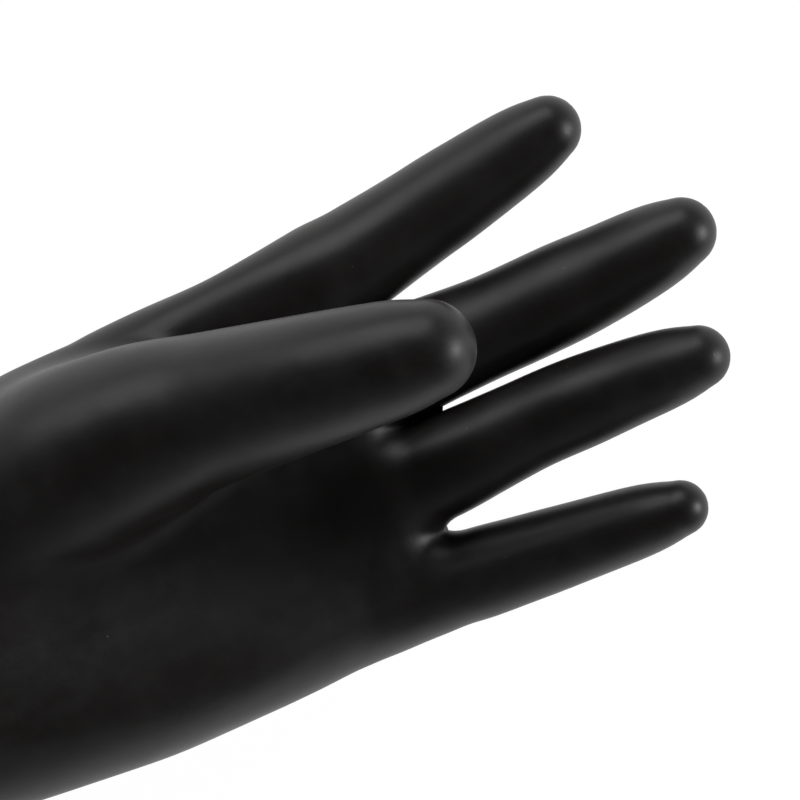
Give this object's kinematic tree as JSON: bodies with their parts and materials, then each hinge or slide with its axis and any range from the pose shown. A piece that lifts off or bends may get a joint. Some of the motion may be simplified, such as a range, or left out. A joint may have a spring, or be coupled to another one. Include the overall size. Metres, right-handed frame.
{
  "type": "electrical insulating glove",
  "caption": "Long-cuffed dipped rubber insulating glove for the left hand: round open cuff with a rolled edge, tapering sleeve, palm, curved stalls for fingers and thumb, all hollow.",
  "frame": {"origin": "centre of the round cuff opening, in the plane of the cuff's edge", "axes": "+X along the glove to the fingertips, +Y towards the thumb's side, +Z out of the palm; the glove lies on its back at z = -0.0607"},
  "size_m": [0.3573, 0.1214, 0.1214],
  "materials": {
    "black_rubber": "satin, dipped natural rubber",
    "label_rubber": "matt bonded patch, blank"
  },
  "bodies": {
    "sleeve": {"gauntlet": "black_rubber", "cuff_bead": "black_rubber", "rating_label": "label_rubber", "wrist_fold": "black_rubber"},
    "hand": {"palm": "black_rubber", "index_base_fold": "black_rubber", "middle_base_fold": "black_rubber", "ring_base_fold": "black_rubber", "little_base_fold": "black_rubber", "thumb_base_fold": "black_rubber"},
    "index_lower": {"index_stall": "black_rubber", "index_mid_fold": "black_rubber"},
    "index_upper": {"index_tip": "black_rubber"},
    "middle_lower": {"middle_stall": "black_rubber", "middle_mid_fold": "black_rubber"},
    "middle_upper": {"middle_tip": "black_rubber"},
    "ring_lower": {"ring_stall": "black_rubber", "ring_mid_fold": "black_rubber"},
    "ring_upper": {"ring_tip": "black_rubber"},
    "little_lower": {"little_stall": "black_rubber", "little_mid_fold": "black_rubber"},
    "little_upper": {"little_tip": "black_rubber"},
    "thumb_lower": {"thumb_stall": "black_rubber", "thumb_mid_fold": "black_rubber"},
    "thumb_upper": {"thumb_tip": "black_rubber"}
  },
  "joints": [
    {"name": "wrist_flex", "type": "hinge", "parent": "sleeve", "child": "hand", "pos_m": [0.135, 0, -0.029], "axis": [0, -1, 0], "range_deg": [-20, 45], "stiffness_Nm_per_rad": 2, "deforming": ["wrist_fold"]},
    {"name": "index_base_bend", "type": "hinge", "parent": "hand", "child": "index_lower", "pos_m": [0.27336, 0.04148, -0.03402], "axis": [0.1564, -0.9877, 0], "range_deg": [-12, 60], "stiffness_Nm_per_rad": 0.3, "deforming": ["index_base_fold"]},
    {"name": "index_mid_straighten", "type": "hinge", "parent": "index_lower", "child": "index_upper", "pos_m": [0.29673, 0.04518, -0.03166], "axis": [-0.1564, 0.9877, 0], "range_deg": [-65, 8], "stiffness_Nm_per_rad": 0.3, "deforming": ["index_mid_fold"]},
    {"name": "middle_base_bend", "type": "hinge", "parent": "hand", "child": "middle_lower", "pos_m": [0.27528, 0.01333, -0.03315], "axis": [0.014, -0.9999, 0], "range_deg": [-12, 42], "stiffness_Nm_per_rad": 0.3, "deforming": ["middle_base_fold"]},
    {"name": "middle_mid_straighten", "type": "hinge", "parent": "middle_lower", "child": "middle_upper", "pos_m": [0.30274, 0.01371, -0.02936], "axis": [-0.014, 0.9999, 0], "range_deg": [-65, 8], "stiffness_Nm_per_rad": 0.3, "deforming": ["middle_mid_fold"]},
    {"name": "ring_base_bend", "type": "hinge", "parent": "hand", "child": "ring_lower", "pos_m": [0.27487, -0.01311, -0.03167], "axis": [-0.0349, -0.9994, 0], "range_deg": [-12, 60], "stiffness_Nm_per_rad": 0.3, "deforming": ["ring_base_fold"]},
    {"name": "ring_mid_straighten", "type": "hinge", "parent": "ring_lower", "child": "ring_upper", "pos_m": [0.30005, -0.01399, -0.02651], "axis": [0.0349, 0.9994, 0], "range_deg": [-65, 8], "stiffness_Nm_per_rad": 0.3, "deforming": ["ring_mid_fold"]},
    {"name": "little_base_bend", "type": "hinge", "parent": "hand", "child": "little_lower", "pos_m": [0.27343, -0.04182, -0.0334], "axis": [-0.0785, -0.9969, 0], "range_deg": [-12, 60], "stiffness_Nm_per_rad": 0.3, "deforming": ["little_base_fold"]},
    {"name": "little_mid_straighten", "type": "hinge", "parent": "little_lower", "child": "little_upper", "pos_m": [0.2902, -0.04314, -0.02994], "axis": [0.0785, 0.9969, 0], "range_deg": [-65, 8], "stiffness_Nm_per_rad": 0.3, "deforming": ["little_mid_fold"]},
    {"name": "thumb_base_open", "type": "hinge", "parent": "hand", "child": "thumb_lower", "pos_m": [0.24767, 0.0158, -0.00507], "axis": [-0.3964, -0.7785, 0.4866], "range_deg": [-20, 30], "stiffness_Nm_per_rad": 0.5, "deforming": ["thumb_base_fold"]},
    {"name": "thumb_mid_straighten", "type": "hinge", "parent": "thumb_lower", "child": "thumb_upper", "pos_m": [0.26504, 0.01354, 0.00466], "axis": [-0.3405, -0.7973, 0.4983], "range_deg": [-35, 10], "stiffness_Nm_per_rad": 0.5, "deforming": ["thumb_mid_fold"]}
  ]
}
